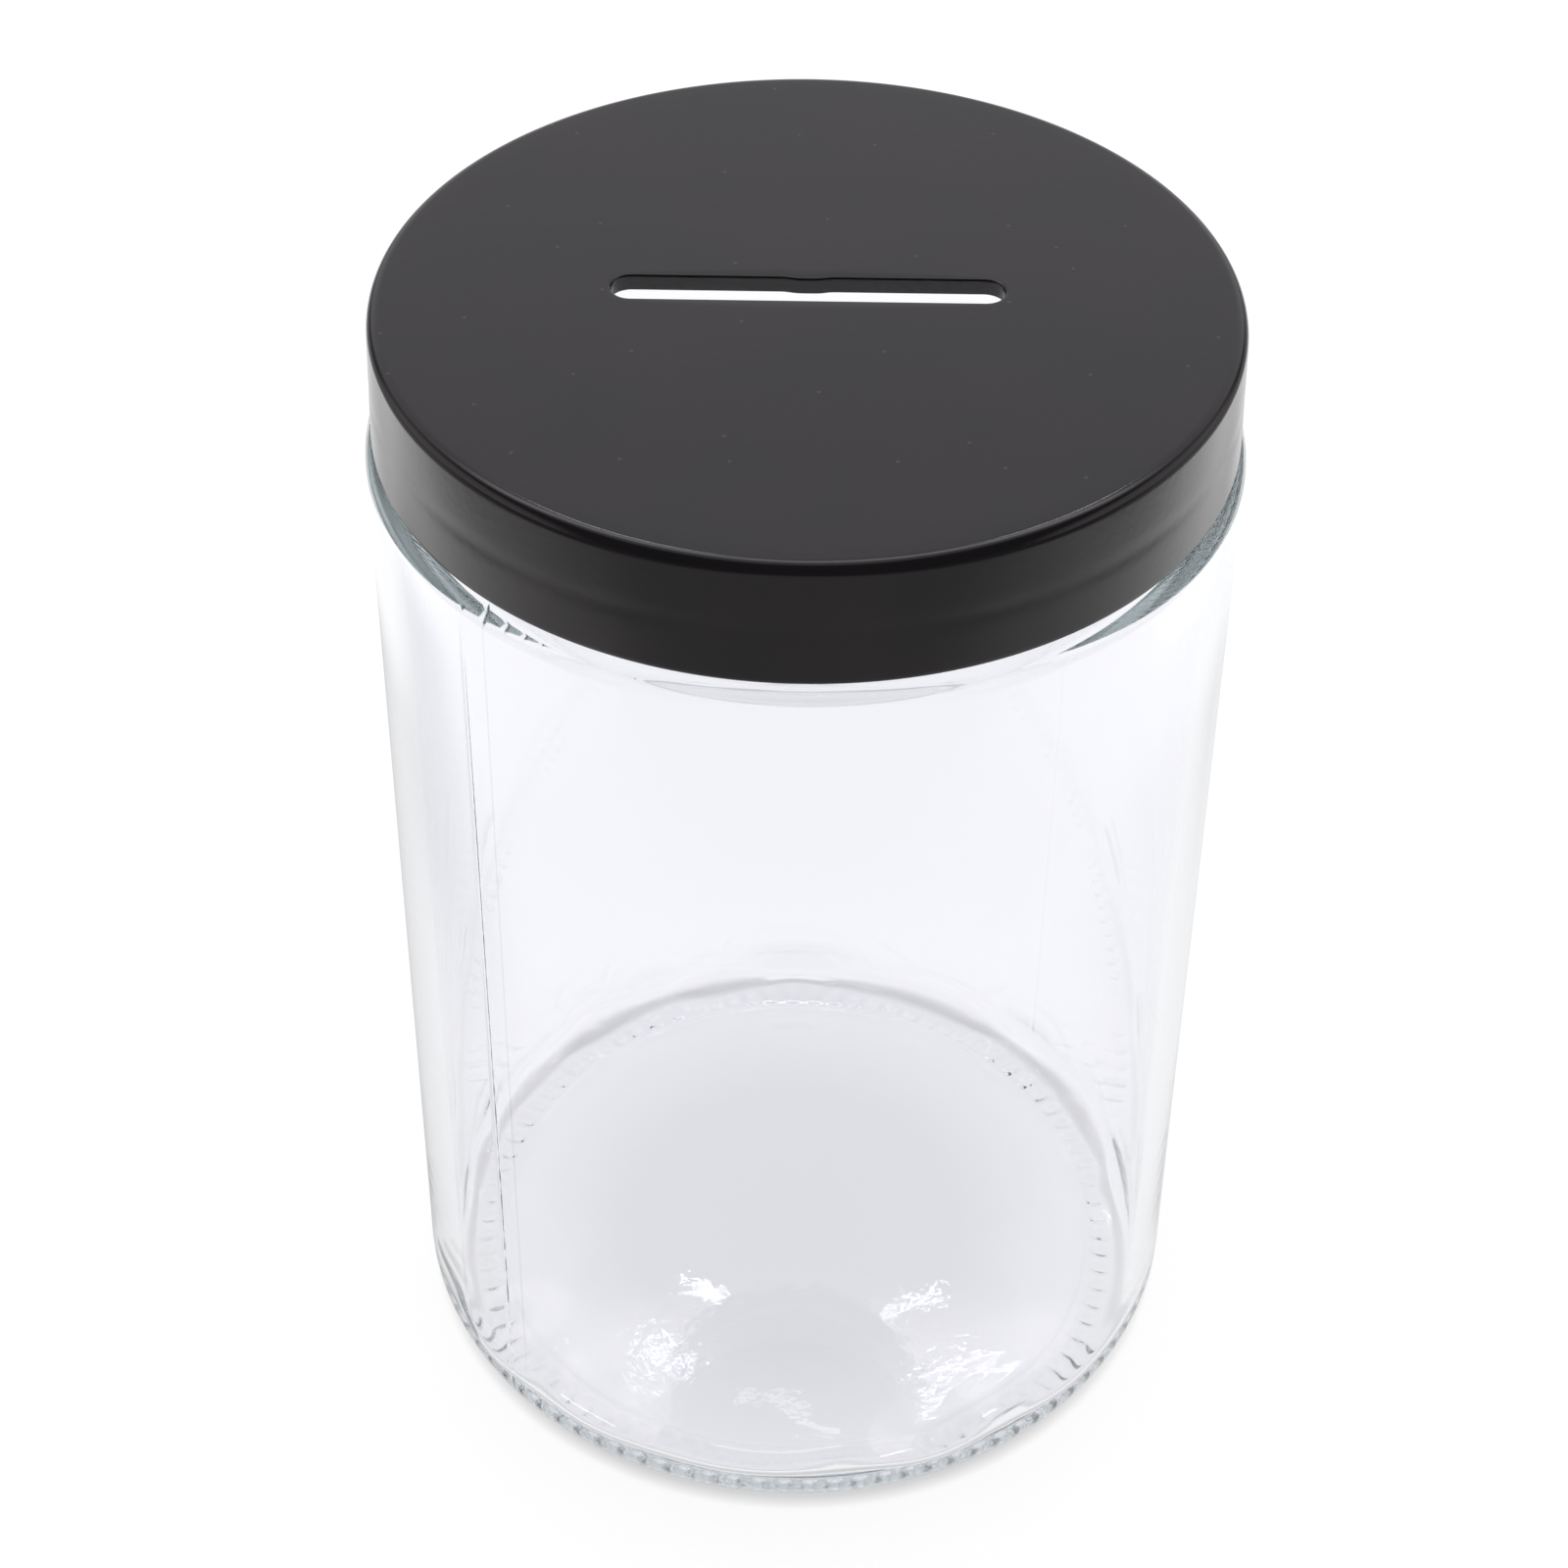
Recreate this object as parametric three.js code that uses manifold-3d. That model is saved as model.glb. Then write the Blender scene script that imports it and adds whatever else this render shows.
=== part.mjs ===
// Coin bank jar: a straight-sided glass jar closed by a moulded screw cap with a coin slot.
// Millimetres. +Z up, origin at the middle of the bottom, front of the jar towards -Y.
import * as THREE from "three";
import { mergeVertices } from "three/addons/utils/BufferGeometryUtils.js";
import Module from "manifold-3d";

// ---- driving dimensions ----

const GAP = 0.2; // free space between pieces that bear on each other

// glass jar, outside
const BODY_RADIUS = 47.6;
const BODY_TOP = 126.9; // height where the straight side ends
const SHOULDER_RADIUS = 3;
const HEEL_RADIUS = 5;
const BEARING_INNER_RADIUS = 39.4; // inner edge of the flat ring that the jar stands on
const PUSH_UP = 4; // height of the hollow under the base
const RIM_HEIGHT = 141;

// glass jar, inside
const WALL = 3;
const BORE_RADIUS = 40; // clear mouth
const RIM_OUTER_ROUNDING = 0.8;
const RIM_INNER_ROUNDING = 1;
const FLOOR_EDGE = 3.4; // height of the inner floor at its edge
const FLOOR_CENTRE = 9.2;
const INNER_HEEL_RADIUS = 2.6;
const BORE_BOTTOM = 132; // height where the bore starts to widen into the body
const INNER_SHOULDER_DEGREES = 80; // steepest slant of the S-curve between the bore and the body
const INNER_SHOULDER_SHARE = 0.65; // part of that S-curve that lies against the bore

// screw finish, shared by the neck and the lid
const PITCH = 5.08; // five threads to the inch
const NECK_RADIUS = 43.06;
const NECK_FILLET = 0.5;
const NECK_THREAD_RADIUS = 44.5;
const NECK_THREAD_ROOT = 2.6; // width of the glass thread where it leaves the neck
const NECK_THREAD_CREST = 1.2;
const NECK_THREAD_TOP = 138.5; // height of the thread's middle at its upper end
const NECK_THREAD_TURNS = 1.25;
const LID_THREAD_RADIUS = 43.6;
const LID_THREAD_ROOT = 2.2;
const LID_THREAD_CREST = 1;
const LID_THREAD_TURNS = 1;
const THREAD_OFFSET = 1.87; // how far the lid's thread lies below the glass thread that it pulls on
const THREAD_FADE_TURNS = 0.06; // each end of a thread runs out into its wall over this part of a turn
const THREAD_START = THREE.MathUtils.degToRad(240); // where the glass thread begins, from +X
const THREAD_ROOT_DEPTH = 0.6; // how deep a thread is rooted in its wall
const LID_THREAD_INSET = 0.3; // plain skirt below the lowest point of the lid's thread

// slotted lid
const LID_TOP = 144.4;
const LID_HEIGHT = 14.2;
const LID_PLATE = 2; // thickness of the top
const LID_TOP_RADIUS = 46.4; // the skirt flares a little towards its mouth
const LID_MOUTH_RADIUS = 46.8;
const LID_INNER_RADIUS = 44.95;
const LID_EDGE_RADIUS = 1.5;
const LID_INNER_FILLET = 0.6;

// coin slot
const SLOT_LENGTH = 41.8;
const SLOT_WIDTH = 4.4;
const SLOT_Y = 1.75; // the slot sits slightly behind the middle

// seal ring between the rim and the lid
const SEAL_INNER_RADIUS = 39.9;
const SEAL_OUTER_RADIUS = 44.2;
const SEAL_THICKNESS = 1;

// fineness of the solids
const TURN_STEPS = 60;
const ARC_STEPS = 4;
const SMALL_ARC_STEPS = 2;

const LID_BOTTOM = LID_TOP - LID_HEIGHT;
const LID_UNDERSIDE = LID_TOP - LID_PLATE;

const wasm = await Module();
wasm.setup();

// ---- materials ----

const clearGlass = new THREE.MeshStandardMaterial({
  color: 0xeff1fa,
  roughness: 0.05,
  metalness: 0,
  transparent: true,
  opacity: 0.35,
});
const blackPlastic = new THREE.MeshStandardMaterial({ color: 0x1c1c1e, roughness: 0.3, metalness: 0 });
const paleFoam = new THREE.MeshStandardMaterial({ color: 0xe8e8e4, roughness: 0.8, metalness: 0 });

// ---- shared shapes ----

const point = (radius, height) => new THREE.Vector2(radius, height);

// Points of an arc in a profile, from one angle to another, in degrees from the outward direction.
function arc(centreRadius, centreHeight, radius, fromDegrees, toDegrees, steps) {
  const points = [];
  for (let i = 0; i <= steps; i++) {
    const angle = THREE.MathUtils.degToRad(fromDegrees + ((toDegrees - fromDegrees) * i) / steps);
    points.push(point(centreRadius + radius * Math.cos(angle), centreHeight + radius * Math.sin(angle)));
  }
  return points;
}

// A closed geometry as a solid that can be joined or cut.
function solidOf(geometry) {
  const bare = geometry.clone();
  bare.deleteAttribute("normal");
  bare.deleteAttribute("uv");
  const merged = mergeVertices(bare, 1e-4);
  return new wasm.Manifold(
    new wasm.Mesh({
      numProp: 3,
      vertProperties: merged.attributes.position.array,
      triVerts: new Uint32Array(merged.index.array),
    }),
  );
}

// A joined or cut solid back as a geometry.
function geometryOf(solid) {
  const { vertProperties, triVerts } = solid.getMesh();
  const geometry = new THREE.BufferGeometry();
  geometry.setAttribute("position", new THREE.BufferAttribute(vertProperties, 3));
  geometry.setIndex(new THREE.BufferAttribute(triVerts, 1));
  const flatShaded = geometry.toNonIndexed();
  flatShaded.computeVertexNormals();
  return flatShaded;
}

// A profile of (radius, height) points turned about the Z axis.
function turned(profile) {
  return new THREE.LatheGeometry(profile, TURN_STEPS).rotateX(Math.PI / 2);
}

// A right-hand helical ridge with a section of four corners.
// It is rooted in a wall and fades into it at both ends.
function threadRidge({ wallRadius, crestRadius, rootWidth, crestWidth, startHeight, startAngle, turns }) {
  const outward = Math.sign(crestRadius - wallRadius);
  const rootRadius = wallRadius - outward * THREAD_ROOT_DEPTH;
  const hiddenRadius = wallRadius - (outward * THREAD_ROOT_DEPTH) / 2;
  const steps = Math.round(turns * TURN_STEPS);
  const positions = [];
  for (let i = 0; i <= steps; i++) {
    const turn = (turns * i) / steps;
    const fade = THREE.MathUtils.smoothstep(Math.min(turn, turns - turn), 0, THREAD_FADE_TURNS);
    const crest = THREE.MathUtils.lerp(hiddenRadius, crestRadius, fade);
    const angle = startAngle + turn * 2 * Math.PI;
    const height = startHeight + turn * PITCH;
    const corners = [
      [rootRadius, -rootWidth / 2],
      [crest, -crestWidth / 2],
      [crest, crestWidth / 2],
      [rootRadius, rootWidth / 2],
    ];
    for (const [radius, rise] of corners) {
      positions.push(radius * Math.cos(angle), radius * Math.sin(angle), height + rise);
    }
  }
  const faces = [];
  const addQuad = (a, b, c, d) => {
    const quad = outward > 0 ? [a, c, b, a, d, c] : [a, b, c, a, c, d];
    faces.push(...quad);
  };
  for (let i = 0; i < steps; i++) {
    for (let side = 0; side < 4; side++) {
      const next = (side + 1) % 4;
      addQuad(i * 4 + side, i * 4 + next, i * 4 + 4 + next, i * 4 + 4 + side);
    }
  }
  addQuad(3, 2, 1, 0);
  addQuad(steps * 4, steps * 4 + 1, steps * 4 + 2, steps * 4 + 3);
  const geometry = new THREE.BufferGeometry();
  geometry.setAttribute("position", new THREE.Float32BufferAttribute(positions, 3));
  geometry.setIndex(faces);
  return geometry;
}

// ---- glass jar ----

// Outline of the glass from the middle of the underside, up the outside, over the rim and down the inside.
function jarProfile() {
  const heelCentre = BODY_RADIUS - HEEL_RADIUS;
  const innerRadius = BODY_RADIUS - WALL;

  const pushUp = [];
  for (let i = 0; i < ARC_STEPS; i++) {
    const share = i / ARC_STEPS;
    pushUp.push(point(BEARING_INNER_RADIUS * share, PUSH_UP * (1 - share * share)));
  }
  const floor = [];
  for (let i = 1; i <= ARC_STEPS; i++) {
    const share = 1 - i / ARC_STEPS;
    const rise = (FLOOR_CENTRE - FLOOR_EDGE) * (1 - share * share);
    floor.push(point((innerRadius - INNER_HEEL_RADIUS) * share, FLOOR_EDGE + rise));
  }

  // The inside widens from the bore to the body by an S of two arcs that meet at a slant.
  const degrees = INNER_SHOULDER_DEGREES;
  const angle = THREE.MathUtils.degToRad(degrees);
  const bothRadii = (innerRadius - BORE_RADIUS) / (1 - Math.cos(angle));
  const upper = bothRadii * INNER_SHOULDER_SHARE;
  const lower = bothRadii - upper;
  const innerShoulderBottom = BORE_BOTTOM - bothRadii * Math.sin(angle);

  return [
    ...pushUp,
    point(BEARING_INNER_RADIUS, 0),
    ...arc(heelCentre, HEEL_RADIUS, HEEL_RADIUS, -90, 0, ARC_STEPS),
    ...arc(BODY_RADIUS - SHOULDER_RADIUS, BODY_TOP, SHOULDER_RADIUS, 0, 90, ARC_STEPS),
    ...arc(
      NECK_RADIUS + NECK_FILLET,
      BODY_TOP + SHOULDER_RADIUS + NECK_FILLET,
      NECK_FILLET,
      270,
      180,
      SMALL_ARC_STEPS,
    ),
    ...arc(
      NECK_RADIUS - RIM_OUTER_ROUNDING,
      RIM_HEIGHT - RIM_OUTER_ROUNDING,
      RIM_OUTER_ROUNDING,
      0,
      90,
      SMALL_ARC_STEPS,
    ),
    ...arc(
      BORE_RADIUS + RIM_INNER_ROUNDING,
      RIM_HEIGHT - RIM_INNER_ROUNDING,
      RIM_INNER_ROUNDING,
      90,
      180,
      SMALL_ARC_STEPS,
    ),
    ...arc(BORE_RADIUS + upper, BORE_BOTTOM, upper, 180, 180 + degrees, SMALL_ARC_STEPS),
    ...arc(innerRadius - lower, innerShoulderBottom, lower, degrees, 0, SMALL_ARC_STEPS).slice(1),
    ...arc(
      innerRadius - INNER_HEEL_RADIUS,
      FLOOR_EDGE + INNER_HEEL_RADIUS,
      INNER_HEEL_RADIUS,
      0,
      -90,
      ARC_STEPS,
    ),
    ...floor,
  ];
}

function glassJar() {
  const thread = threadRidge({
    wallRadius: NECK_RADIUS,
    crestRadius: NECK_THREAD_RADIUS,
    rootWidth: NECK_THREAD_ROOT,
    crestWidth: NECK_THREAD_CREST,
    startHeight: NECK_THREAD_TOP - NECK_THREAD_TURNS * PITCH,
    startAngle: THREAD_START,
    turns: NECK_THREAD_TURNS,
  });
  const glass = solidOf(turned(jarProfile())).add(solidOf(thread));
  const mesh = new THREE.Mesh(geometryOf(glass), clearGlass);
  mesh.name = "glass_jar";
  return mesh;
}

// ---- slotted lid ----

// Outline of the lid from the middle of the underside, down the inside wall, round the mouth,
// up the skirt and over the top.
function lidProfile() {
  const flatRadius = LID_TOP_RADIUS - LID_EDGE_RADIUS;
  return [
    point(0, LID_UNDERSIDE),
    ...arc(
      LID_INNER_RADIUS - LID_INNER_FILLET,
      LID_UNDERSIDE - LID_INNER_FILLET,
      LID_INNER_FILLET,
      90,
      0,
      SMALL_ARC_STEPS,
    ),
    point(LID_INNER_RADIUS, LID_BOTTOM),
    point(LID_MOUTH_RADIUS, LID_BOTTOM),
    ...arc(flatRadius, LID_TOP - LID_EDGE_RADIUS, LID_EDGE_RADIUS, 0, 90, ARC_STEPS),
    point(0, LID_TOP),
  ];
}

// The long hole with round ends that coins go through.
function slotCutter() {
  const endRadius = SLOT_WIDTH / 2;
  const halfStraight = SLOT_LENGTH / 2 - endRadius;
  const outline = new THREE.Shape();
  outline.absarc(halfStraight, SLOT_Y, endRadius, -Math.PI / 2, Math.PI / 2);
  outline.absarc(-halfStraight, SLOT_Y, endRadius, Math.PI / 2, (3 * Math.PI) / 2);
  const overrun = LID_PLATE; // the cutter runs this far past both faces of the top
  const cutter = new THREE.ExtrudeGeometry(outline, {
    depth: LID_PLATE + 2 * overrun,
    curveSegments: 2 * ARC_STEPS,
    bevelEnabled: false,
  });
  return cutter.translate(0, 0, LID_UNDERSIDE - overrun);
}

// The lid's thread lies on the same helix as the glass thread, one offset lower.
// It starts just inside the mouth.
function lidThread() {
  const lowestMiddle = LID_BOTTOM + LID_THREAD_ROOT / 2 + LID_THREAD_INSET;
  const glassThreadStart = NECK_THREAD_TOP - NECK_THREAD_TURNS * PITCH;
  const turnsAlongHelix = (lowestMiddle + THREAD_OFFSET - glassThreadStart) / PITCH;
  return threadRidge({
    wallRadius: LID_INNER_RADIUS,
    crestRadius: LID_THREAD_RADIUS,
    rootWidth: LID_THREAD_ROOT,
    crestWidth: LID_THREAD_CREST,
    startHeight: lowestMiddle,
    startAngle: THREAD_START + turnsAlongHelix * 2 * Math.PI,
    turns: LID_THREAD_TURNS,
  });
}

function slottedLid() {
  const cap = solidOf(turned(lidProfile()))
    .add(solidOf(lidThread()))
    .subtract(solidOf(slotCutter()));
  const mesh = new THREE.Mesh(geometryOf(cap), blackPlastic);
  mesh.name = "slotted_lid";
  return mesh;
}

// ---- seal ring ----

// A flat ring that the lid presses on the rim.
function sealRing() {
  const top = LID_UNDERSIDE - GAP;
  const bottom = top - SEAL_THICKNESS;
  const section = [
    point(SEAL_INNER_RADIUS, bottom),
    point(SEAL_OUTER_RADIUS, bottom),
    point(SEAL_OUTER_RADIUS, top),
    point(SEAL_INNER_RADIUS, top),
    point(SEAL_INNER_RADIUS, bottom),
  ];
  const mesh = new THREE.Mesh(turned(section), paleFoam);
  mesh.name = "seal_ring";
  return mesh;
}

// ---- assembly ----

const coinBankJar = new THREE.Group();
coinBankJar.name = "coin_bank_jar";
coinBankJar.add(glassJar(), sealRing(), slottedLid());

export default coinBankJar;
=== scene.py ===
"""Coin bank jar: the fine meshes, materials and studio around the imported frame.

Metres, +Z up, front towards -Y. Profiles are drawn in millimetres.
"""

import math

import bpy
import numpy as np
from mathutils import Matrix, Vector


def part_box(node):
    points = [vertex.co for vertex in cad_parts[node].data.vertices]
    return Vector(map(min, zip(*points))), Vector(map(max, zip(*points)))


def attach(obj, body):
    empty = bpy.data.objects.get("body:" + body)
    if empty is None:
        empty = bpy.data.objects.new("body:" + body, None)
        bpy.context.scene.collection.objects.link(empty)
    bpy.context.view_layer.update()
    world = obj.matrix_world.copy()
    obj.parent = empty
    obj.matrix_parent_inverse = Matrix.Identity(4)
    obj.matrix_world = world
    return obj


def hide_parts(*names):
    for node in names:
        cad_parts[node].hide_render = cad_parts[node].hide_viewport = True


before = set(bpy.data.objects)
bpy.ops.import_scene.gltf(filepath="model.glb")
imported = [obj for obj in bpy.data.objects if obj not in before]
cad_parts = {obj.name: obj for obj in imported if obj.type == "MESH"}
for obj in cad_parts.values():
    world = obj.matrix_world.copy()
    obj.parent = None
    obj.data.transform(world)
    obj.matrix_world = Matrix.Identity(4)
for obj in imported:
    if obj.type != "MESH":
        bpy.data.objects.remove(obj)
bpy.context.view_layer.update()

# ---- sizes, in millimetres, that the frame doesn't give ----

MM = 0.001
WALL = 3.0
BODY_TOP = 126.9  # where the shoulder starts to round
SHOULDER_RADIUS = 3.0
HEEL_RADIUS = 5.0
BEARING_RADIUS = 39.4  # inner edge of the ring that the jar stands on
PUSH_UP = 4.0
FLOOR_EDGE = 3.4  # height of the jar's inside floor at its edge
FLOOR_CENTRE = 9.2  # and at its middle
INNER_HEEL_RADIUS = 2.6
INNER_SHOULDER_SLANT = 80  # degrees from upright where its two arcs meet
INNER_SHOULDER_SHARE = 0.65  # of its width in the upper arc
RIM_OUTER_ROUNDING = 0.8
RIM_INNER_ROUNDING = 1.0
BORE_RADIUS = 40.0
BORE_BOTTOM = 132.0
NECK_RADIUS = 43.06
NECK_FILLET = 0.5
NECK_THREAD_HEIGHT = 1.44
PITCH = 5.08
NECK_THREAD_TOP = 138.5
NECK_THREAD_TURNS = 1.25
THREAD_START = math.radians(240)
LID_PLATE = 2.0
LID_INNER_RADIUS = 44.95
LID_THREAD_HEIGHT = 1.35
LID_THREAD_TURNS = 1.0
LID_EDGE_RADIUS = 1.5
LID_TOP_RADIUS = 46.4
LID_LIP = 0.35
LID_CREASE = 0.035  # depth of the shallow groove round the skirt
LID_CREASE_RISE = 6.4  # and its height over the lid's bottom
THREAD_OFFSET = 1.87  # how far the lid's thread sits below the jar's
SLOT_HALF_STRAIGHT = 18.7
SLOT_END_RADIUS = 2.2
SLOT_Y = 1.75
SLOT_ROUNDING = 0.25
SLOT_NOTCH = 0.3  # a small step in the middle of the slot's back wall
SLOT_NOTCH_HALF_WIDTH = 2.0

KNURLS = 87
KNURL_HEIGHT = 0.32
KNURL_RADIUS = 40.4
KNURL_HALF_LENGTH = 2.1
KNURL_HALF_WIDTH = 0.36  # of the spacing
KNURL_CROWN = 1.25  # 1 for a plain dome, more for a narrower top
STIPPLE = 3.5  # depth of the dots on both faces of the base, in depths of the ripple
STIPPLE_RADIUS = 36
SEAMS = {223: 0.1, 43: 0.03}  # angle from +X of each mould seam, and its height
SEAM_HALF_WIDTH = 0.4
SEAM_HALF_CREST = 0.05
SWELL = 0.02  # unevenness of the walls
CORNER_UNEVENNESS = 1.05  # and of the inside corner of the base
CORNER_HEIGHT = 5
CORNER_SPREAD = 2.4
LOWEST_LOBE, HIGHEST_LOBE = -1.6, 2.2

_, jar_high = [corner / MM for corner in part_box("glass_jar")]
lid_low, lid_high = [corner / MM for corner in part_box("slotted_lid")]
seal_low, seal_high = [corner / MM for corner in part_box("seal_ring")]
BODY_RADIUS = jar_high.x
RIM_TOP = jar_high.z
LID_MOUTH_RADIUS = lid_high.x
LID_BOTTOM, LID_TOP = lid_low.z, lid_high.z
INNER_RADIUS = BODY_RADIUS - WALL

# ---- colours and light ----

FLOOR_GLOW = 0.95
FLOOR_PAINTED_SHADE = {  # painted shade: how much of the floor's glow is left, by distance from the jar's axis in millimetres; darker under the jar and in a painted contact-shadow ring where it stands, which also greys the jar's base seen through the glass
    0: 0.78,
    22: 0.80,
    36: 0.90,
    39: 0.86,
    42.5: 0.86,
    44.0: 0.62,
    45.5: 0.66,
    47.5: 0.98,
    60: 1.0,
}
LID_BLACK = (0.0055, 0.004, 0.0055)
LID_BROWN = (0.012, 0.007, 0.0095)
DUST = (0.16, 0.15, 0.15)
LINER_DARK = (0.72, 0.72, 0.69)
LINER_PALE = (0.84, 0.84, 0.82)
WORLD_BRIGHT = (0.9, 0.89, 0.93)  # behind and overhead
WORLD_DARK = (0.12, 0.12, 0.12)  # in front
WORLD_SIDES = (0.85, 0.82, 0.82)  # low down at both sides
WORLD_BAND = (3.2, 3.1, 3.2)  # in a narrow band from side to side, high up
BACKDROP = (1.0, 1.0, 1.0)
BACK_RISE = math.radians(47)  # elevation of the middle of the bright wall behind
BAND_RISE = math.radians(71)  # and of the narrow band, which is behind too
GLASS_TINT = (0.962, 0.962, 0.99)  # at its surface
DEPTH_TINT = (0.2, 0.34, 0.35)  # of a long path through it
DEPTH_TINT_DENSITY = 5.0
FULL_BOUNCES = 96  # light trapped in the thick glass turns black with fewer


# ---- profiles ----

def line(start, end, steps):
    """Points from start to end, both included."""
    return np.linspace(start, end, steps + 1)


def arc(centre, radius, from_degrees, to_degrees, steps):
    """Points of an arc, in degrees from the outward direction."""
    angles = np.radians(np.linspace(from_degrees, to_degrees, steps + 1))
    return np.stack([centre[0] + radius * np.cos(angles), centre[1] + radius * np.sin(angles)], 1)


def joined(*pieces):
    """One profile from pieces that meet end to end, without the doubled points."""
    points = np.concatenate(pieces)
    keep = np.ones(len(points), bool)
    keep[1:] = np.linalg.norm(np.diff(points, axis=0), axis=1) > 1e-4
    return points[keep]


def normals(profile):
    """The outward direction at each point of an open profile that runs with the solid on its left."""
    along = np.gradient(profile, axis=0)
    along /= np.linalg.norm(along, axis=1, keepdims=True)
    return np.stack([along[:, 1], -along[:, 0]], 1)


def ramp(value, low, high):
    """0 below low, 1 above high, smooth between."""
    t = np.clip((value - low) / (high - low), 0, 1)
    return t * t * (3 - 2 * t)


def waves(angles, heights, harmonics, seed):
    """A smooth uneven field round a turned surface, about -1 to 1."""
    random = np.random.default_rng(seed)
    field = np.zeros((len(heights), len(angles)))
    for k in harmonics:
        phase = random.uniform(0, 2 * math.pi)
        drift = random.uniform(-0.09, 0.09)
        size = random.uniform(0.6, 1.2)
        wave = np.cos(k * angles[None, :] + phase + drift * heights[:, None])
        field += size * wave / math.sqrt(len(harmonics))
    return field


def thread(angles, heights, start_height, turns, start_angle, root, crest):
    """How much of a helical thread's height stands at each point, from 0 to 1."""
    turn = ((angles - start_angle) / (2 * math.pi)) % 1.0
    field = np.zeros((len(heights), len(angles)))
    for lap in range(int(turns) + 1):
        at = turn[None, :] + lap
        middle = start_height + at * PITCH
        side = np.abs(heights[:, None] - middle)
        shape = 1 - ramp(side, crest / 2, root / 2)
        fade = ramp(np.minimum(at, turns - at), 0, 0.06)
        field = np.maximum(field, shape * fade)
    return field


# ---- meshes ----

def turned_mesh(name, rings, poles=None):
    """A closed mesh from rings of points.

    Poles are the two axis points of an open profile. Without them the profile closes on itself.
    """
    count, around = rings.shape[:2]
    points = rings.reshape(-1, 3)
    index = np.arange(count * around).reshape(count, around)
    after = np.roll(index, -1, axis=1)
    rows = range(count - 1) if poles is not None else range(-1, count - 1)
    faces = []
    for row in rows:
        faces += np.stack([index[row], after[row], after[row + 1], index[row + 1]], 1).tolist()
    if poles is not None:
        first, last = len(points), len(points) + 1
        points = np.vstack([points, poles])
        faces += [[first, b, a] for a, b in zip(index[0], after[0])]
        faces += [[last, a, b] for a, b in zip(index[-1], after[-1])]
    mesh = bpy.data.meshes.new(name)
    mesh.from_pydata((points * MM).tolist(), [], [[int(i) for i in face] for face in faces])
    mesh.validate()
    mesh.shade_smooth()
    piece = bpy.data.objects.new(name, mesh)
    bpy.context.scene.collection.objects.link(piece)
    return piece


def revolve(radii, heights, angles):
    """Rings of points round the axis."""
    return np.stack([radii * np.cos(angles), radii * np.sin(angles), heights], -1)


def jar_angles():
    """Angles round the jar: six to each knurl, and a close group at each mould seam."""
    steps = np.arange(6) / 6 / KNURLS
    angles = [(i / KNURLS + step) % 1 * 2 * math.pi for i in range(KNURLS) for step in steps]
    for seam in SEAMS:
        angles += [math.radians(seam) + offset / BODY_RADIUS for offset in (-0.5, -0.22, 0, 0.22, 0.5)]
    return np.unique(np.round(np.array(angles) % (2 * math.pi), 5))


def jar_outside():
    """The profile of the jar's outside, from the middle of the push-up to the rim."""
    heel = BODY_RADIUS - HEEL_RADIUS
    share = np.append(np.linspace(0.05, 0.9, 14), np.linspace(0.91, 1, 10))
    push_up = np.stack([BEARING_RADIUS * share, PUSH_UP * (1 - share**2)], 1)
    neck_foot = BODY_TOP + SHOULDER_RADIUS
    rim_edge = RIM_TOP - RIM_OUTER_ROUNDING
    return joined(
        push_up,
        line((BEARING_RADIUS, 0), (heel, 0), 9),
        arc((heel, HEEL_RADIUS), HEEL_RADIUS, -90, 0, 14),
        line((BODY_RADIUS, HEEL_RADIUS), (BODY_RADIUS, BODY_TOP), 18),
        arc((BODY_RADIUS - SHOULDER_RADIUS, BODY_TOP), SHOULDER_RADIUS, 0, 90, 10),
        arc((NECK_RADIUS + NECK_FILLET, neck_foot + NECK_FILLET), NECK_FILLET, 270, 180, 4),
        line((NECK_RADIUS, neck_foot + NECK_FILLET), (NECK_RADIUS, rim_edge), 28),
        arc((NECK_RADIUS - RIM_OUTER_ROUNDING, rim_edge), RIM_OUTER_ROUNDING, 0, 90, 5),
    )


def jar_inside():
    """The profile of the jar's inside, from the rim to the middle of the domed floor."""
    rim_edge = RIM_TOP - RIM_INNER_ROUNDING
    slant = math.radians(INNER_SHOULDER_SLANT)
    both = (INNER_RADIUS - BORE_RADIUS) / (1 - math.cos(slant))
    upper = INNER_SHOULDER_SHARE * both
    lower = (1 - INNER_SHOULDER_SHARE) * both
    foot = BORE_BOTTOM - both * math.sin(slant)
    close_below = 14  # the rings are closer together below this height
    corner_top = FLOOR_EDGE + INNER_HEEL_RADIUS
    floor_radius = INNER_RADIUS - INNER_HEEL_RADIUS
    share = np.linspace(1, 0.05, 16)
    dome = FLOOR_EDGE + (FLOOR_CENTRE - FLOOR_EDGE) * (1 - share**2)
    return joined(
        arc((BORE_RADIUS + RIM_INNER_ROUNDING, rim_edge), RIM_INNER_ROUNDING, 90, 180, 5),
        line((BORE_RADIUS, rim_edge), (BORE_RADIUS, BORE_BOTTOM), 3),
        arc((BORE_RADIUS + upper, BORE_BOTTOM), upper, 180, 180 + INNER_SHOULDER_SLANT, 9),
        arc((INNER_RADIUS - lower, foot), lower, INNER_SHOULDER_SLANT, 0, 9),
        line((INNER_RADIUS, foot), (INNER_RADIUS, close_below), 14),
        line((INNER_RADIUS, close_below), (INNER_RADIUS, corner_top), 10),
        arc((floor_radius, corner_top), INNER_HEEL_RADIUS, 0, -90, 12),
        np.stack([floor_radius * share, dome], 1),
    )


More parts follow.
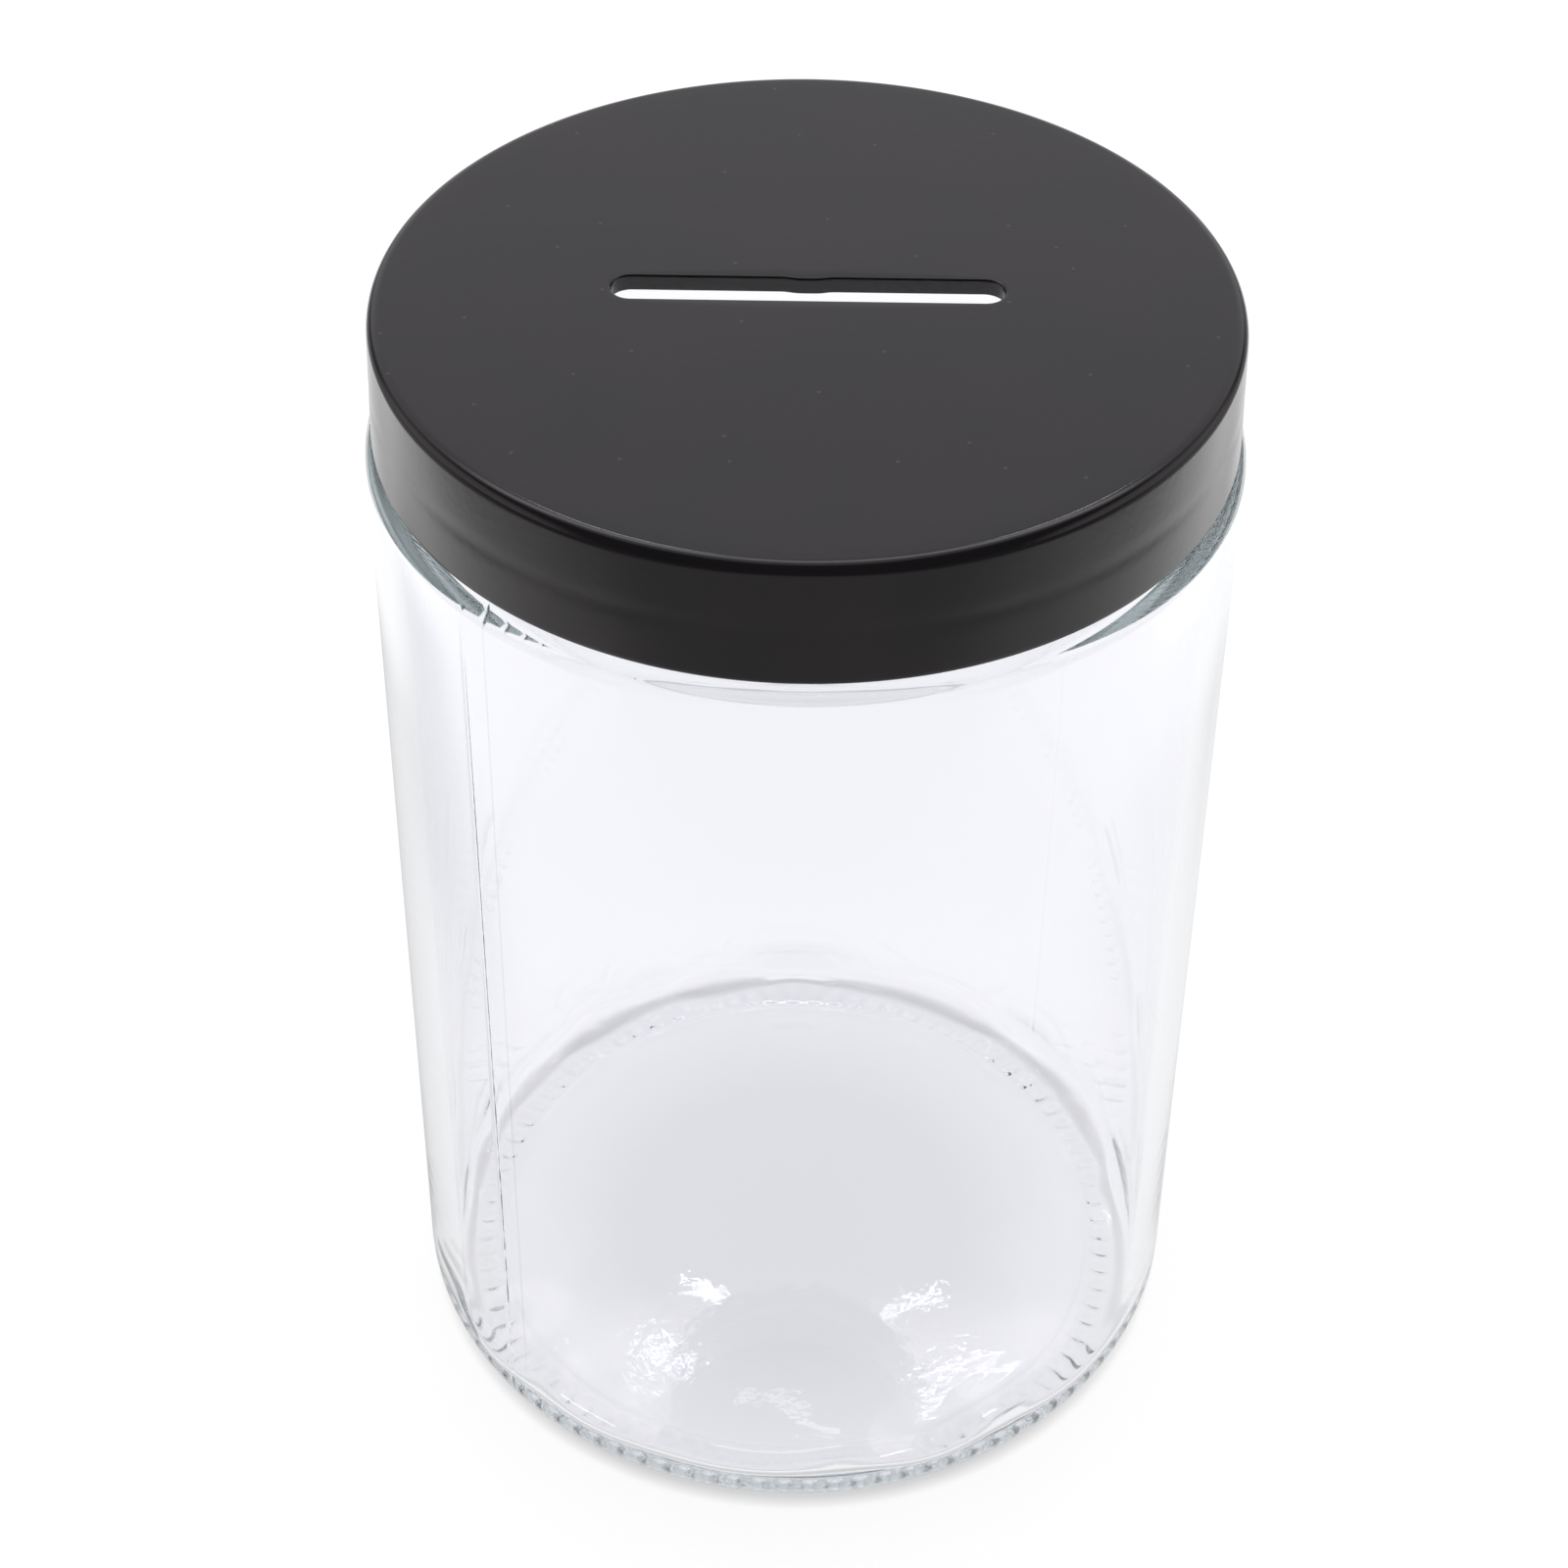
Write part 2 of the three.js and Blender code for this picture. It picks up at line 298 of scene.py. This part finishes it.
def outside_relief(radius, height, angles):
    """How far the jar's outside stands out of its profile: knurls, seams, thread and a slight swell."""
    knurl_start = KNURL_RADIUS - KNURL_HALF_LENGTH
    ring = ramp(radius, knurl_start - 1, knurl_start) * (1 - ramp(height, 0.5, 1.8))
    across = ((angles * KNURLS / (2 * math.pi) + 0.5) % 1 - 0.5) / KNURL_HALF_WIDTH
    along = (radius - KNURL_RADIUS) / KNURL_HALF_LENGTH
    knurl = np.clip(1 - across[None, :] ** 2 - along[:, None] ** 2, 0, 1) ** KNURL_CROWN
    between_knurls = -KNURL_HEIGHT * ring[:, None] * (1 - knurl)

    seam = 0
    for at, rise in SEAMS.items():
        aside = np.abs((angles - math.radians(at) + math.pi) % (2 * math.pi) - math.pi) * BODY_RADIUS
        seam = seam + rise * (1 - ramp(aside, SEAM_HALF_CREST, SEAM_HALF_WIDTH))
    seamed = ramp(radius, BORE_RADIUS, INNER_RADIUS) * ramp(height, 1, 6)
    seamed *= 1 - ramp(height, BODY_TOP - 1, BODY_TOP + 2)

    thread_bottom = NECK_THREAD_TOP - NECK_THREAD_TURNS * PITCH
    ridge = thread(angles, height, thread_bottom, NECK_THREAD_TURNS, THREAD_START, root=2.6, crest=1.2)
    on_neck = (np.abs(radius - NECK_RADIUS) < 0.01)[:, None]

    swell = waves(angles, height, harmonics=range(2, 9), seed=3)
    swell = -SWELL * (1 + np.clip(swell, -1, 1)) * ramp(height, 3, 12)[:, None]
    swell *= 1 - ramp(height, BODY_TOP - 4, BODY_TOP + 2)[:, None]
    seams = seam[None, :] * seamed[:, None]
    return between_knurls + seams + NECK_THREAD_HEIGHT * ridge * on_neck + swell


def inside_relief(radius, height, angles):
    """How far the jar's inside stands out of its profile: lobes round the corner, stronger at the back."""
    near_corner = np.exp(-(((height - CORNER_HEIGHT) / CORNER_SPREAD) ** 2)) * ramp(radius, 34, 41.5)
    uneven = SWELL + CORNER_UNEVENNESS * near_corner
    uneven *= ramp(radius, 20, 40) * (1 - ramp(height, 110, 126))  # smooth in the middle and near the bore
    lobes = 1.5 * waves(angles, height, harmonics=range(7, 19), seed=11)
    lobes = lobes + 0.8 * np.cos(4 * (angles - math.pi / 2))
    strength = 0.6 + 0.4 * np.sin(angles)
    return np.clip(uneven[:, None] * lobes * strength, LOWEST_LOBE, HIGHEST_LOBE)


def glass_jar():
    """The jar: one closed wall, outside and inside."""
    angles = jar_angles()
    rings = []
    for profile, relief in ((jar_outside(), outside_relief), (jar_inside(), inside_relief)):
        out = relief(profile[:, 0], profile[:, 1], angles)
        moved = profile[:, :, None] + normals(profile)[:, :, None] * out[:, None, :]
        rings.append(revolve(moved[:, 0], moved[:, 1], angles[None, :]))
    poles = np.array([[0, 0, PUSH_UP], [0, 0, FLOOR_CENTRE]])
    return turned_mesh("jar_glass", np.concatenate(rings), poles)


def slot_ring(offset, height, around):
    """The slot's outline, grown by offset, as points that match the angles round the lid."""
    radius = SLOT_END_RADIUS + offset
    straight, end = 2 * SLOT_HALF_STRAIGHT, math.pi * SLOT_END_RADIUS
    length = 2 * (straight + end)
    points = []
    for i in range(around):
        s = (i / around * length + end / 2) % length
        from_middle = ((s - end) / straight - 0.5) * straight / SLOT_NOTCH_HALF_WIDTH
        notch = SLOT_NOTCH * math.exp(-(from_middle**4))
        if s < end:
            angle = -math.pi / 2 + s / SLOT_END_RADIUS
            x, y = SLOT_HALF_STRAIGHT + radius * math.cos(angle), radius * math.sin(angle)
        elif s < end + straight:
            x, y = SLOT_HALF_STRAIGHT - (s - end), radius - notch
        elif s < 2 * end + straight:
            angle = math.pi / 2 + (s - end - straight) / SLOT_END_RADIUS
            x, y = -SLOT_HALF_STRAIGHT + radius * math.cos(angle), radius * math.sin(angle)
        else:
            x, y = -SLOT_HALF_STRAIGHT + (s - 2 * end - straight), -radius
        points.append((x, SLOT_Y + y, height))
    return np.array(points)


def slotted_lid():
    """The lid: rings that turn from a circle to the slot's outline and back."""
    around = 360
    angles = np.arange(around) / around * 2 * math.pi
    underside = LID_TOP - LID_PLATE
    flat = LID_TOP_RADIUS - LID_EDGE_RADIUS
    edge = LID_TOP - LID_EDGE_RADIUS
    round_slot = 27  # radius, clear of the slot's ends, where the rings start to take the slot's outline

    # the rings run up the outside, over the top to the slot, down through it, back under the top
    # and down the inside
    skirt = joined(
        arc((LID_MOUTH_RADIUS - LID_LIP, LID_BOTTOM + LID_LIP), LID_LIP, -90, 0, 5),
        line((LID_MOUTH_RADIUS, LID_BOTTOM + LID_LIP), (LID_TOP_RADIUS, edge), 40),
        arc((flat, edge), LID_EDGE_RADIUS, 0, 90, 16),
        line((flat, LID_TOP), (round_slot, LID_TOP), 10),
    )
    radius, height = skirt[:, 0], skirt[:, 1]
    crease = LID_CREASE * np.exp(-((height - LID_BOTTOM - LID_CREASE_RISE) ** 2)) * (radius > LID_TOP_RADIUS)
    level = height[:, None] + 0 * angles
    outer_rings = revolve((radius - crease)[:, None] + 0 * angles, level, angles[None, :])

    top_slot = slot_ring(SLOT_ROUNDING, LID_TOP, around)
    circle = outer_rings[-1]
    top_rings = [circle + (top_slot - circle) * ramp(t, 0, 1) for t in np.linspace(0, 1, 8)[1:-1]]
    turn = np.radians(np.linspace(90, 0, 5))
    grown = [SLOT_ROUNDING * (1 - math.cos(a)) for a in turn]
    sunk = [SLOT_ROUNDING * (1 - math.sin(a)) for a in turn]
    top_edge = [slot_ring(out, LID_TOP - down, around) for out, down in zip(grown, sunk)]
    bottom_edge = [slot_ring(out, underside + up, around) for out, up in zip(grown[::-1], sunk[::-1])]

    corner = 0.6
    inner = joined(
        line((round_slot, underside), (LID_INNER_RADIUS - corner, underside), 6),
        arc((LID_INNER_RADIUS - corner, underside - corner), corner, 90, 0, 4),
        line((LID_INNER_RADIUS, underside - corner), (LID_INNER_RADIUS, LID_BOTTOM + LID_LIP), 56),
        arc((LID_INNER_RADIUS + LID_LIP, LID_BOTTOM + LID_LIP), LID_LIP, 180, 270, 4),
    )
    radius, height = inner[:, 0], inner[:, 1]
    root, crest, gap = 2.2, 1.0, 0.3
    lowest = LID_BOTTOM + root / 2 + gap  # the middle of the thread at its start
    helix_turns = (lowest + THREAD_OFFSET - NECK_THREAD_TOP + NECK_THREAD_TURNS * PITCH) / PITCH
    start = THREAD_START + helix_turns * 2 * math.pi
    ridge = LID_THREAD_HEIGHT * thread(angles, height, lowest, LID_THREAD_TURNS, start, root, crest)
    ridge *= (np.abs(radius - LID_INNER_RADIUS) < 0.01)[:, None]
    inner_rings = revolve(radius[:, None] - ridge, height[:, None] + 0 * ridge, angles[None, :])
    low_slot = bottom_edge[-1]
    under_rings = [low_slot + (inner_rings[0] - low_slot) * ramp(t, 0, 1) for t in np.linspace(0, 1, 6)[1:-1]]

    rings = np.array([*outer_rings, *top_rings, *top_edge, *bottom_edge, *under_rings, *inner_rings])
    return turned_mesh("screw_lid", rings)


def seal_ring():
    """The flat liner between the lid and the rim, with rounded edges."""
    around = 180
    angles = np.arange(around) / around * 2 * math.pi
    overhang, rounding = 0.1, 0.25
    inner = BORE_RADIUS - overhang
    outer = seal_high.x
    low, high = seal_low.z, seal_high.z
    short_of_start = 0.1  # because the section closes on itself
    section = joined(
        arc((outer - rounding, low + rounding), rounding, -90, 0, 3),
        arc((outer - rounding, high - rounding), rounding, 0, 90, 3),
        line((outer - rounding, high), (inner + rounding, high), 6),
        arc((inner + rounding, high - rounding), rounding, 90, 180, 3),
        arc((inner + rounding, low + rounding), rounding, 180, 270, 3),
        line((inner + rounding, low), (outer - rounding - short_of_start, low), 6),
    )
    rings = revolve(section[:, :1] + 0 * angles, section[:, 1:] + 0 * angles, angles[None, :])
    return turned_mesh("liner_ring", rings)


# ---- materials ----

def new_material(name):
    """A node material, its tree and its shader."""
    material = bpy.data.materials.new(name)
    material.use_nodes = True
    tree = material.node_tree
    return material, tree, tree.nodes["Principled BSDF"]


def position(tree, kind="Object"):
    """A texture coordinate and its X, Y and Z."""
    place = tree.nodes.new("ShaderNodeTexCoord")
    axes = tree.nodes.new("ShaderNodeSeparateXYZ")
    tree.links.new(place.outputs[kind], axes.inputs["Vector"])
    return place.outputs[kind], axes.outputs["X"], axes.outputs["Y"], axes.outputs["Z"]


def noise(tree, scale, detail=3.0):
    """The grey of a noise texture in the object's own space."""
    place = tree.nodes.new("ShaderNodeTexCoord")
    texture = tree.nodes.new("ShaderNodeTexNoise")
    texture.inputs["Scale"].default_value = scale
    texture.inputs["Detail"].default_value = detail
    tree.links.new(place.outputs["Object"], texture.inputs["Vector"])
    return texture.outputs["Fac"]


def spread(tree, source, low, high, from_low=0.0, from_high=1.0, smooth=False):
    """A number that goes from low to high as its source goes from from_low to from_high."""
    node = tree.nodes.new("ShaderNodeMapRange")
    if smooth:
        node.interpolation_type = "SMOOTHSTEP"
    node.inputs["From Min"].default_value = from_low
    node.inputs["From Max"].default_value = from_high
    node.inputs["To Min"].default_value = low
    node.inputs["To Max"].default_value = high
    tree.links.new(source, node.inputs["Value"])
    return node.outputs["Result"]


def fade_in(tree, source, start, end):
    """0 below start, 1 above end, smooth between."""
    return spread(tree, source, 0, 1, start, end, smooth=True)


def fade_out(tree, source, start, end):
    """1 below start, 0 above end, smooth between."""
    return spread(tree, source, 1, 0, start, end, smooth=True)


def grey_ramp(node, values):
    """Sets a colour ramp's stops from a dict of place to grey."""
    stops = node.color_ramp.elements
    while len(stops) > 1:
        stops.remove(stops[-1])
    for number, (at, value) in enumerate(values.items()):
        stop = stops[0] if number == 0 else stops.new(at)
        stop.position = at
        stop.color = (value, value, value, 1)


def math_node(tree, operation, *values):
    """The result of a math node. Each value is a plain number or a linked one."""
    node = tree.nodes.new("ShaderNodeMath")
    node.operation = operation
    for socket, value in zip(node.inputs, values):
        if isinstance(value, (int, float)):
            socket.default_value = value
        else:
            tree.links.new(value, socket)
    return node.outputs["Value"]


def product(tree, result, *factors):
    """All the values multiplied together, from the left."""
    for factor in factors:
        result = math_node(tree, "MULTIPLY", result, factor)
    return result


def reduced_by(tree, value, share):
    """A value with a share of it, from 0 to 1, taken away."""
    return product(tree, value, math_node(tree, "SUBTRACT", 1, share))


def mix_colours(tree, first, second, factor):
    """A colour between two others; each is a tuple or a linked colour."""
    node = tree.nodes.new("ShaderNodeMix")
    node.data_type = "RGBA"
    for socket, colour in ((node.inputs["A"], first), (node.inputs["B"], second)):
        if isinstance(colour, tuple):
            socket.default_value = (*colour, 1)
        else:
            tree.links.new(colour, socket)
    tree.links.new(factor, node.inputs["Factor"])
    return node.outputs["Result"]


def bump(tree, shader, source, distance):
    """Tilts a shader's surface by the slope of source, whose full range is distance deep."""
    node = tree.nodes.new("ShaderNodeBump")
    node.inputs["Distance"].default_value = distance
    node.inputs["Strength"].default_value = 1.0
    tree.links.new(source, node.inputs["Height"])
    tree.links.new(node.outputs["Normal"], shader.inputs["Normal"])


def glass_material():
    """Clear glass that tints light by its path, rippled, with dots on both faces of the base."""
    material, tree, shader = new_material("clear_glass")
    shader.inputs["Base Color"].default_value = (*GLASS_TINT, 1)
    shader.inputs["Roughness"].default_value = 0.0
    shader.inputs["IOR"].default_value = 1.5
    shader.inputs["Transmission Weight"].default_value = 1.0
    depth = tree.nodes.new("ShaderNodeVolumeAbsorption")
    depth.inputs["Color"].default_value = (*DEPTH_TINT, 1)
    depth.inputs["Density"].default_value = DEPTH_TINT_DENSITY
    tree.links.new(depth.outputs["Volume"], tree.nodes["Material Output"].inputs["Volume"])

    _, x, y, z = position(tree)
    low_down = spread(tree, z, 1, 0, FLOOR_CENTRE * MM, (FLOOR_CENTRE + 0.3) * MM)
    from_axis = math_node(tree, "SQRT", math_node(tree, "MULTIPLY_ADD", x, x, product(tree, y, y)))
    central = spread(tree, from_axis, 1, 0, STIPPLE_RADIUS * MM, (STIPPLE_RADIUS + 2) * MM)
    dots = product(tree, noise(tree, scale=600, detail=2.0), STIPPLE)
    dots_on_base = product(tree, product(tree, low_down, central), dots)
    ripple = noise(tree, scale=40, detail=2.0)
    bump(tree, shader, math_node(tree, "ADD", ripple, dots_on_base), distance=0.000008)
    return material


def lid_material():
    """Moulded black plastic with grain, uneven gloss, a brown mottle and dust on its top."""
    material, tree, shader = new_material("black_plastic")
    shader.inputs["IOR"].default_value = 1.46
    glossiest, dullest = 0.1, 0.2
    smear = spread(tree, noise(tree, scale=40), glossiest, dullest)
    tree.links.new(smear, shader.inputs["Roughness"])
    bump(tree, shader, noise(tree, scale=900, detail=2.0), distance=0.00001)

    mottle = spread(tree, noise(tree, scale=55, detail=4.0), 0, 1, 0.35, 0.7)
    plain = mix_colours(tree, LID_BLACK, LID_BROWN, mottle)
    place, _, _, z = position(tree)
    specks = tree.nodes.new("ShaderNodeTexVoronoi")
    specks.voronoi_dimensions = "2D"
    specks.inputs["Scale"].default_value = 75
    tree.links.new(place, specks.inputs["Vector"])
    on_top = spread(tree, z, 0, 1, (LID_TOP - 0.15) * MM, (LID_TOP - 0.05) * MM)
    thickest = 0.3
    dust = spread(tree, specks.outputs["Distance"], thickest, 0, 0.008, 0.02)
    colour = mix_colours(tree, plain, DUST, product(tree, dust, on_top))
    tree.links.new(colour, shader.inputs["Base Color"])
    return material


def liner_material():
    """Pale closed-cell foam."""
    material, tree, shader = new_material("liner_foam")
    shader.inputs["Roughness"].default_value = 0.75
    cells = noise(tree, scale=1500, detail=2.0)
    tree.links.new(mix_colours(tree, LINER_DARK, LINER_PALE, cells), shader.inputs["Base Color"])
    bump(tree, shader, cells, distance=0.00005)
    return material


# ---- studio ----

def reflected_floor(tree, x, y, from_axis):
    """How bright a reflection sees the floor, by place in metres: painted shade, dark in front and far aside,
    that stands in for the light falling off.
    """
    front_middle, front_side, back_side, far_side = 0.43, 0.4, 1.65, 0.25
    painted_patch_depth = 0.8
    dimmer_left, dimmer_right = 0.42, 0.22
    front = -0.2
    side = math_node(tree, "ABSOLUTE", x)
    middle = spread(tree, y, front_middle, 1, front, -0.11, smooth=True)
    beside = spread(tree, y, front_side, back_side, front, 0.06)
    to_side = fade_in(tree, side, 0.15, 0.2)
    level = math_node(tree, "MULTIPLY_ADD", to_side, math_node(tree, "SUBTRACT", beside, middle), middle)
    level = product(tree, level, spread(tree, side, 1, far_side, 0.225, 0.27, smooth=True))

    # a painted dark patch lies askew at the left: painted shade on the floor that only reflections see
    askew = math_node(tree, "MULTIPLY_ADD", x, 0.52, product(tree, y, 0.85))
    painted_dark_patch = product(
        tree,
        fade_in(tree, askew, -0.1, -0.055),
        fade_out(tree, askew, -0.045, 0.015),
        fade_out(tree, x, -0.13, -0.09),
        fade_in(tree, x, -0.21, -0.16),
    )
    level = reduced_by(tree, level, product(tree, painted_dark_patch, painted_patch_depth))

    # painted shade: the jar's edges mirror the floor close behind it, which is dimmed, more at the left than
    # at the right
    close = product(tree, fade_out(tree, from_axis, 0.14, 0.165), fade_in(tree, y, -0.06, 0.0))
    dimmer = spread(tree, x, dimmer_left, dimmer_right, -0.05, 0.05)
    return reduced_by(tree, level, product(tree, close, dimmer))


def floor():
    """A plain pale sheet that glows, with a painted shade and contact shadow under the jar. Only reflections
    see a painted pattern of light and shade on it.
    """
    mesh = bpy.data.meshes.new("studio_floor")
    half, just_under = 3.0, 0.0001
    corners = [(-half, -half, 0), (half, -half, 0), (half, half, 0), (-half, half, 0)]
    mesh.from_pydata(corners, [], [[0, 1, 2, 3]])
    piece = bpy.data.objects.new("studio_floor", mesh)
    bpy.context.scene.collection.objects.link(piece)
    piece.location.z = -just_under
    material, tree, shader = new_material("studio_floor")
    shader.inputs["Base Color"].default_value = (0.12, 0.12, 0.12, 1)
    shader.inputs["Roughness"].default_value = 0.9
    shader.inputs["Specular IOR Level"].default_value = 0.0
    shader.inputs["Emission Color"].default_value = (1, 1, 1, 1)

    place, x, y, _ = position(tree)
    length = tree.nodes.new("ShaderNodeVectorMath")
    length.operation = "LENGTH"
    tree.links.new(place, length.inputs[0])
    from_axis = length.outputs["Value"]

    # only reflections, not the camera or light through the glass, see the painted light and shade of
    # reflected_floor
    ray = tree.nodes.new("ShaderNodeLightPath")
    mirrored = reduced_by(tree, ray.outputs["Is Glossy Ray"], ray.outputs["Is Transmission Ray"])
    pattern = math_node(tree, "SUBTRACT", reflected_floor(tree, x, y, from_axis), 1)
    level = math_node(tree, "MULTIPLY_ADD", mirrored, pattern, 1)

    # the painted shade under the jar and the painted contact shadow round its foot, by distance from its axis
    shade = tree.nodes.new("ShaderNodeValToRGB")
    reach = max(FLOOR_PAINTED_SHADE)
    grey_ramp(shade, {at / reach: value for at, value in FLOOR_PAINTED_SHADE.items()})
    tree.links.new(product(tree, from_axis, 1 / (reach * MM)), shade.inputs["Fac"])
    glow = product(tree, level, shade.outputs["Color"], FLOOR_GLOW)
    tree.links.new(glow, shader.inputs["Emission Strength"])
    mesh.materials.append(material)


def softbox(name, place, target, width, height, power, spin=0):
    """A soft rectangular lamp aimed at a point, turned by spin degrees about its beam."""
    light = bpy.data.lights.new(name, "AREA")
    light.shape = "RECTANGLE"
    light.size, light.size_y = width, height
    light.energy = power
    lamp = bpy.data.objects.new(name, light)
    bpy.context.scene.collection.objects.link(lamp)
    lamp.location = place
    aim = (Vector(target) - Vector(place)).to_track_quat("-Z", "Y")
    lamp.rotation_euler = (aim.to_matrix() @ Matrix.Rotation(math.radians(spin), 3, "Z")).to_euler()


def alignment(tree, source, direction):
    """The cosine of the angle between a linked direction and a fixed one."""
    node = tree.nodes.new("ShaderNodeVectorMath")
    node.operation = "DOT_PRODUCT"
    node.inputs[1].default_value = direction
    tree.links.new(source, node.inputs[0])
    return node.outputs["Value"]


def studio_world():
    """Soft light from behind, above and the sides, and a plain backdrop for the camera."""
    world = bpy.data.worlds.new("studio")
    bpy.context.scene.world = world
    world.use_nodes = True
    tree = world.node_tree
    background = tree.nodes["Background"]
    background.inputs["Strength"].default_value = 1.0
    toward, x, _, z = position(tree, "Generated")
    side = math_node(tree, "ABSOLUTE", x)

    behind = alignment(tree, toward, (0, math.cos(BACK_RISE), math.sin(BACK_RISE)))
    sky = mix_colours(tree, WORLD_DARK, WORLD_BRIGHT, fade_in(tree, behind, 0.5, 0.72))
    sideways = product(tree, fade_in(tree, side, 0.76, 0.93), fade_out(tree, z, 0.35, 0.7))
    sky = mix_colours(tree, sky, WORLD_SIDES, sideways)
    off_band = alignment(tree, toward, (0, -math.sin(BAND_RISE), math.cos(BAND_RISE)))
    band = product(
        tree,
        fade_out(tree, math_node(tree, "ABSOLUTE", off_band), 0.03, 0.19),
        fade_out(tree, side, 0.45, 0.75),
        fade_in(tree, z, 0.1, 0.3),
    )
    sky = mix_colours(tree, sky, WORLD_BAND, band)

    # the camera sees a plain backdrop, and so does light that reaches it level through the glass
    ray = tree.nodes.new("ShaderNodeLightPath")
    through = product(tree, ray.outputs["Is Transmission Ray"], fade_out(tree, z, 0.1, 0.25))
    seen = math_node(tree, "MAXIMUM", ray.outputs["Is Camera Ray"], through)
    tree.links.new(mix_colours(tree, sky, BACKDROP, seen), background.inputs["Color"])


def camera():
    """The viewing angle: above the front, looking down at 41 degrees, rolled a little."""
    target = Vector((0, 0, 0.0763))
    distance = 0.413
    elevation, roll = math.radians(41.28), math.radians(0.82)
    back = Vector((0, -math.cos(elevation), math.sin(elevation)))
    right = Vector((1, 0, 0))
    up = back.cross(right)
    across = math.cos(roll) * right + math.sin(roll) * up
    upright = math.cos(roll) * up - math.sin(roll) * right
    data = bpy.data.cameras.new("camera")
    data.sensor_width = 36
    data.lens = 80.3
    data.shift_x = -0.0108
    item = bpy.data.objects.new("camera", data)
    bpy.context.scene.collection.objects.link(item)
    turn = Matrix((across, upright, back)).transposed().to_4x4()
    item.matrix_world = Matrix.Translation(target + distance * back) @ turn
    bpy.context.scene.camera = item


# ---- assembly ----

def assemble(piece, body, node, material):
    """Puts a piece in place of its CAD node, on the node's body."""
    piece.data.materials.append(material)
    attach(piece, body)
    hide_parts(node)


camera()
studio_world()
floor()
lamps_aim = (0, 0, 0.1)
softbox("strip_left", (-0.107, 0.28, 0.6), lamps_aim, width=0.11, height=0.018, power=0.12, spin=-50)
softbox("strip_right", (0.16, 0.275, 0.6), lamps_aim, width=0.1, height=0.018, power=0.1, spin=60)
assemble(glass_jar(), "jar", "glass_jar", glass_material())
assemble(slotted_lid(), "lid", "slotted_lid", lid_material())
assemble(seal_ring(), "seal", "seal_ring", liner_material())
scene = bpy.context.scene
scene.view_settings.view_transform = "Standard"
scene.cycles.max_bounces = FULL_BOUNCES
scene.cycles.transmission_bounces = FULL_BOUNCES
scene.cycles.glossy_bounces = FULL_BOUNCES
